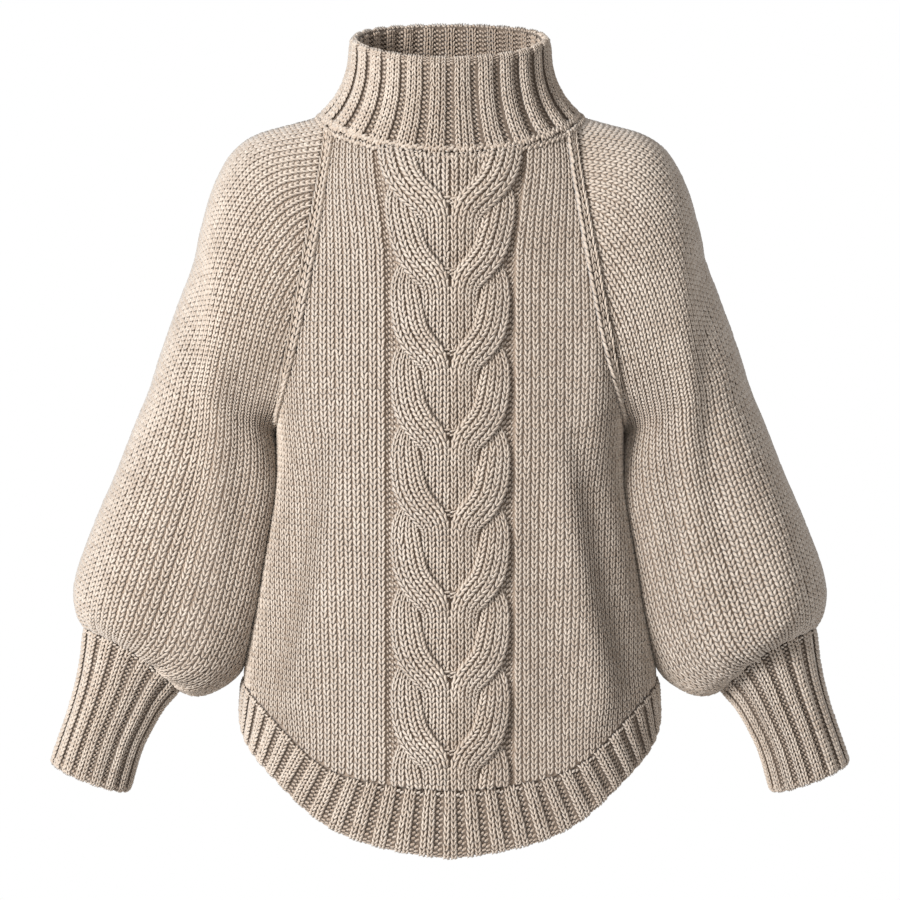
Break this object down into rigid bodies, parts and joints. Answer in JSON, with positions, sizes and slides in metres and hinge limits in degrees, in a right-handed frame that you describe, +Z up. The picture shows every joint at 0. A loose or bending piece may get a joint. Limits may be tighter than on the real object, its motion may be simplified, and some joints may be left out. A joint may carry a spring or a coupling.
{
  "type": "cable knit turtleneck sweater",
  "caption": "Hollow knitted turtleneck sweater with a cabled front, raglan balloon sleeves, deep ribbed cuffs and a curved ribbed hem.",
  "frame": {"origin": "middle of the collar's seam, where the wearer's neck holds the sweater up", "axes": "+Z is up, -Y is the garment's front and +X is the wearer's left"},
  "size_m": [0.7204, 0.27, 0.7246],
  "materials": {
    "greige_yarn": "matt knitted wool",
    "greige_rib_yarn": "matt ribbed wool"
  },
  "bodies": {
    "root": {"collar": "greige_rib_yarn", "front": "greige_yarn", "back": "greige_yarn", "hem_front": "greige_rib_yarn", "hem_back": "greige_rib_yarn", "sleeve_left": "greige_yarn", "cuff_left": "greige_rib_yarn", "sleeve_right": "greige_yarn", "cuff_right": "greige_rib_yarn"}
  },
  "joints": []
}
